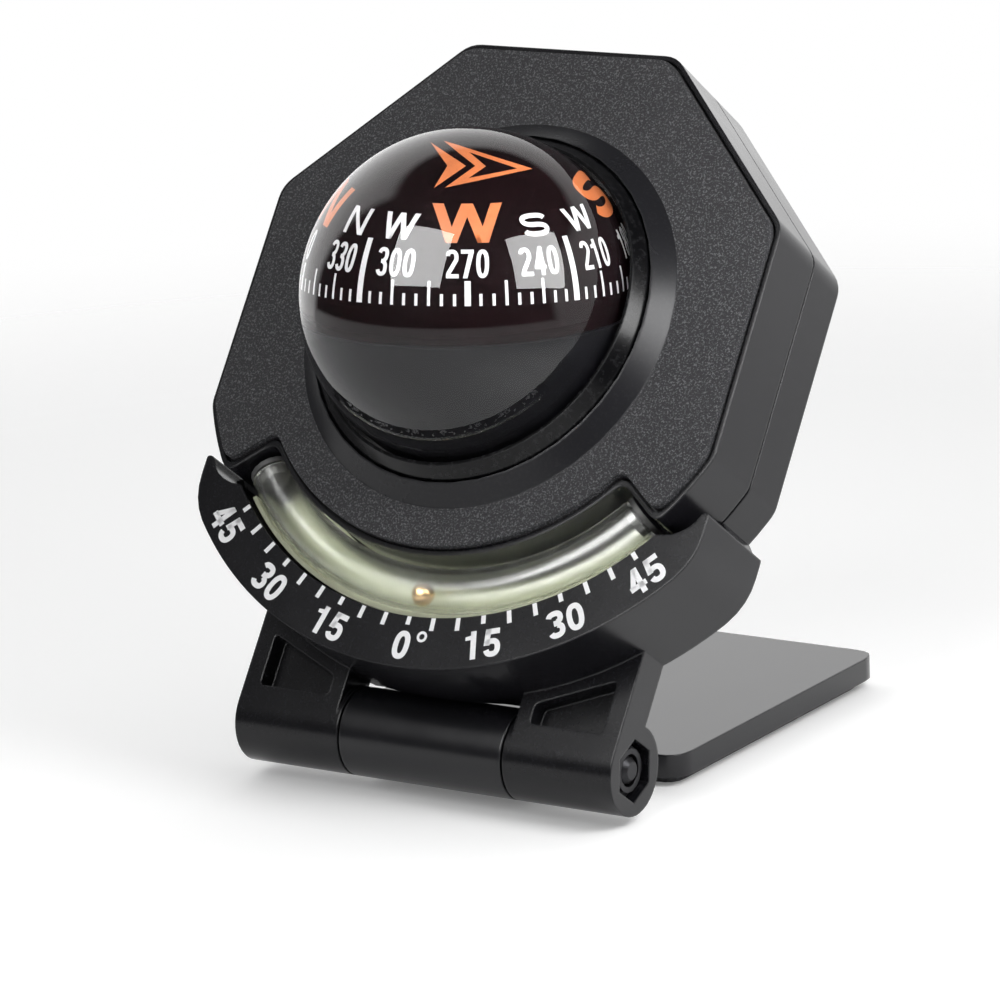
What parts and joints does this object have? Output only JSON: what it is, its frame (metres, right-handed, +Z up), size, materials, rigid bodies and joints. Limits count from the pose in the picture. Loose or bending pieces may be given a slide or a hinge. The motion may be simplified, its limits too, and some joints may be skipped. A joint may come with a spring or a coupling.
{
  "type": "dashboard compass",
  "caption": "Octagonal tilting dashboard compass with a floating card in a clear ball, a curved rolling-ball inclinometer with a scale, and a stick-on base.",
  "frame": {"origin": "centre of the adhesive pad's underside, on the surface that it sticks to", "axes": "+X to the right along the hinge bolt as seen from the front, +Y back from the dial, +Z up"},
  "size_m": [0.065, 0.068, 0.0774],
  "materials": {
    "housing_plastic": "satin moulded black",
    "grained_plastic": "fine grained dark grey",
    "base_plastic": "glossy black",
    "collar_plastic": "glossy black",
    "clear_ball": "clear polished",
    "clear_tube": "clear polished",
    "gasket_rubber": "matt",
    "plug_plastic": "matt grey",
    "luminous_plastic": "pale yellow-green",
    "dark_steel": "dark plated",
    "ball_brass": "polished",
    "bowl_plastic": "smooth dark grey",
    "ballast_metal": "plain cast",
    "card_plastic": "satin black with printed scale",
    "jewel_glass": "polished",
    "pad_foam": "matt foam with adhesive"
  },
  "bodies": {
    "base": {"base_plate": "base_plastic", "adhesive_pad": "pad_foam"},
    "head": {"back_housing": "housing_plastic", "front_shell": "housing_plastic", "face_plate": "grained_plastic", "dome_collar": "collar_plastic", "dome_front": "clear_ball", "ball_gasket": "gasket_rubber", "ball_back": "collar_plastic", "filler_plug": "gasket_rubber", "inclinometer_tube": "clear_tube", "tube_plug_right": "plug_plastic", "tube_plug_left": "plug_plastic", "luminous_strip": "luminous_plastic", "hinge_bolt": "dark_steel", "hinge_washer": "dark_steel", "hinge_nut": "dark_steel", "housing_screw_1": "dark_steel", "housing_screw_2": "dark_steel", "housing_screw_3": "dark_steel", "housing_screw_4": "dark_steel"},
    "roller": {"inclinometer_ball": "ball_brass"},
    "level": {"level_bowl": "bowl_plastic", "ballast_weight": "ballast_metal", "pivot_post": "ball_brass"},
    "card": {"compass_card": "card_plastic", "jewel_cup": "jewel_glass", "card_magnet_front": "ballast_metal", "card_magnet_back": "ballast_metal"}
  },
  "joints": [
    {"name": "head_tilt", "type": "hinge", "parent": "base", "child": "head", "pos_m": [0, -0.03545, 0.00596], "axis": [1, 0, 0], "range_deg": [-54, 120]},
    {"name": "ball_roll", "type": "hinge", "parent": "head", "child": "roller", "pos_m": [0, -0.01933, 0.04933], "axis": [0, -0.8131, 0.5821], "range_deg": [-41, 41]},
    {"name": "bowl_level", "type": "hinge", "parent": "head", "child": "level", "pos_m": [0, -0.02653, 0.05387], "axis": [1, 0, 0], "range_deg": [-125, 60]},
    {"name": "card_spin", "type": "hinge", "parent": "level", "child": "card", "pos_m": [0, -0.02653, 0.05387], "axis": [-0.0269, 0.0956, 0.9951], "continuous": true}
  ],
  "couplings": [
    {"joint": "bowl_level", "follows": "head_tilt", "ratio": -1}
  ]
}
